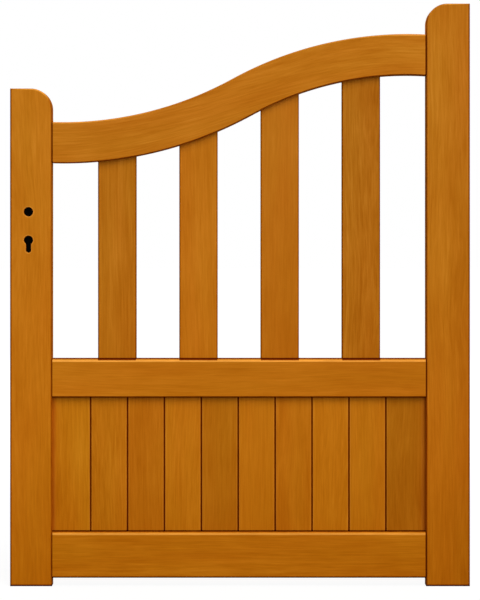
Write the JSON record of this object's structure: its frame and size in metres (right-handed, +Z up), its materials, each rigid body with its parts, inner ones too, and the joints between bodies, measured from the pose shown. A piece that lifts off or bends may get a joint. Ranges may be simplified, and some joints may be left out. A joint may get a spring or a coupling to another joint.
{
  "type": "wooden garden gate leaf",
  "caption": "Swan-neck wooden garden gate leaf: tall hanging stile, lower lock stile, curved top rail over upright pales, V-jointed boards below, prepared for a lever handle and cylinder.",
  "frame": {"origin": "foot of the hanging stile's outer face, at the middle of the leaf's thickness", "axes": "+X out of the hanging stile's outer face, with the leaf on its -X side; the front face looks along -Y; +Z up"},
  "size_m": [0.98, 0.045, 1.242],
  "materials": {
    "frame_wood": "satin honey-coloured varnish",
    "board_wood": "satin honey-coloured varnish",
    "case_steel": "black, satin",
    "lock_steel": "brushed"
  },
  "bodies": {
    "root": {"lock_stile": "frame_wood", "hanging_stile": "frame_wood", "top_rail": "frame_wood", "middle_rail": "frame_wood", "bottom_rail": "frame_wood", "pale_1": "frame_wood", "pale_2": "frame_wood", "pale_3": "frame_wood", "pale_4": "frame_wood", "board_1": "board_wood", "board_2": "board_wood", "board_3": "board_wood", "board_4": "board_wood", "board_5": "board_wood", "board_6": "board_wood", "board_7": "board_wood", "board_8": "board_wood", "board_9": "board_wood", "board_10": "board_wood", "lock_case": "case_steel", "lock_hub": "lock_steel", "lock_faceplate": "lock_steel", "latch": "lock_steel", "dead_bolt": "lock_steel", "faceplate_screws": "lock_steel"}
  },
  "joints": []
}
